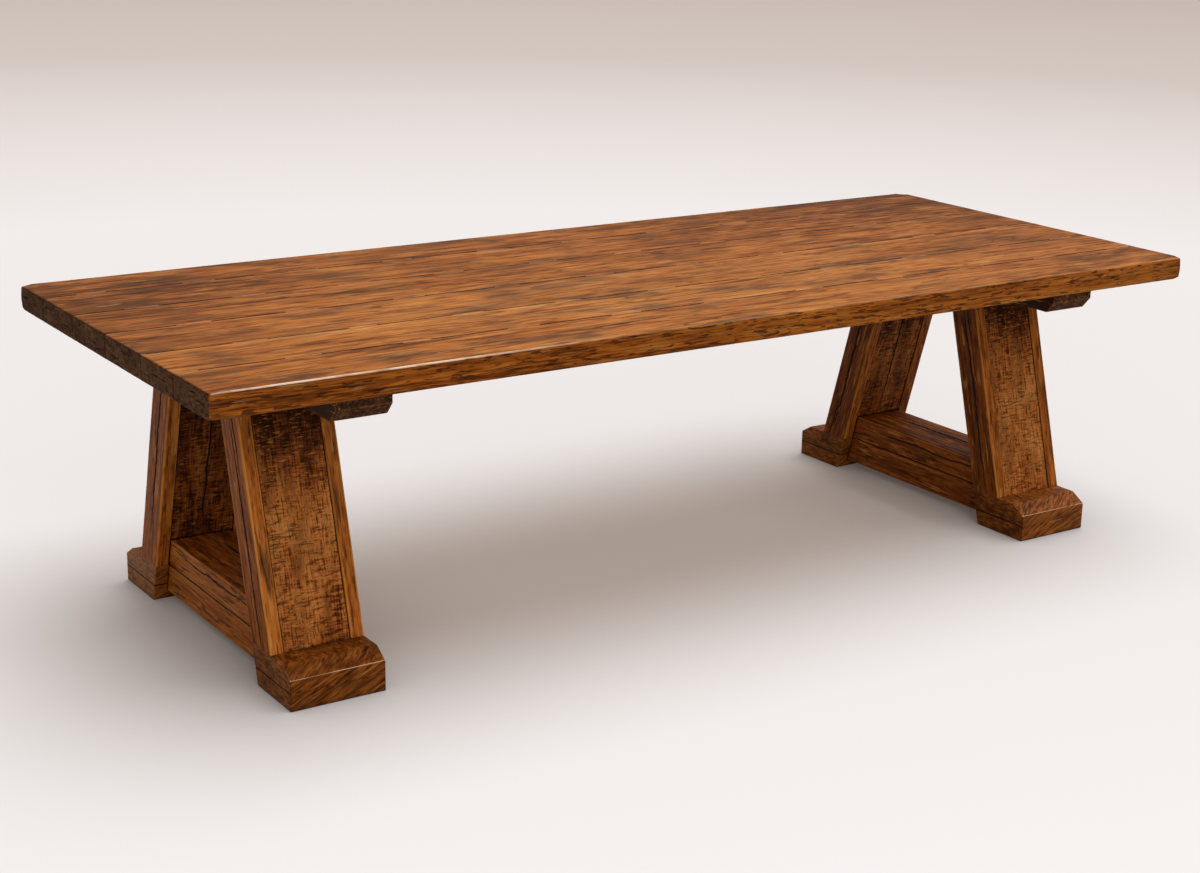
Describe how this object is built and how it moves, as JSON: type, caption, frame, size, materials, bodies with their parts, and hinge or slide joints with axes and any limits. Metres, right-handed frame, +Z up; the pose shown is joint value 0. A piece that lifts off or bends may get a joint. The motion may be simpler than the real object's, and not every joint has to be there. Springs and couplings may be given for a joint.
{
  "type": "trestle dining table",
  "caption": "Heavy plank dining table on A-frame trestles with leaning panelled legs, bevel-toed feet, low cross beams and bevelled bearers under a thick boarded top.",
  "frame": {"origin": "on the floor under the middle of the tabletop", "axes": "+X along the table, +Y across it towards the back long side, +Z up"},
  "size_m": [2.81, 1.13, 0.762],
  "materials": {
    "top_oak": "brown stained oak, satin",
    "trestle_oak": "brown stained oak, planed and worn, satin",
    "sawn_oak": "brown stained oak, rough sawn",
    "tongue_birch": "bare birch plywood",
    "zinc_steel": "zinc plated"
  },
  "bodies": {
    "root": {"top_board_1": "top_oak", "top_board_2": "top_oak", "top_board_3": "top_oak", "top_board_4": "top_oak", "top_board_5": "top_oak", "top_board_6": "top_oak", "top_tongue_1": "tongue_birch", "top_tongue_2": "tongue_birch", "top_tongue_3": "tongue_birch", "top_tongue_4": "tongue_birch", "top_tongue_5": "tongue_birch", "bearer_left": "trestle_oak", "beam_left_lower": "trestle_oak", "beam_left_upper": "trestle_oak", "leg_front_left_outboard_stile": "trestle_oak", "leg_front_left_inboard_stile": "trestle_oak", "leg_front_left_outer_panel": "sawn_oak", "leg_front_left_inner_panel": "sawn_oak", "foot_front_left_lower": "trestle_oak", "foot_front_left_upper": "trestle_oak", "leg_back_left_outboard_stile": "trestle_oak", "leg_back_left_inboard_stile": "trestle_oak", "leg_back_left_outer_panel": "sawn_oak", "leg_back_left_inner_panel": "sawn_oak", "foot_back_left_lower": "trestle_oak", "foot_back_left_upper": "trestle_oak", "bearer_right": "trestle_oak", "beam_right_lower": "trestle_oak", "beam_right_upper": "trestle_oak", "leg_front_right_outboard_stile": "trestle_oak", "leg_front_right_inboard_stile": "trestle_oak", "leg_front_right_outer_panel": "sawn_oak", "leg_front_right_inner_panel": "sawn_oak", "foot_front_right_lower": "trestle_oak", "foot_front_right_upper": "trestle_oak", "leg_back_right_outboard_stile": "trestle_oak", "leg_back_right_inboard_stile": "trestle_oak", "leg_back_right_outer_panel": "sawn_oak", "leg_back_right_inner_panel": "sawn_oak", "foot_back_right_lower": "trestle_oak", "foot_back_right_upper": "trestle_oak", "top_screws": "zinc_steel", "top_washers": "zinc_steel"}
  },
  "joints": []
}
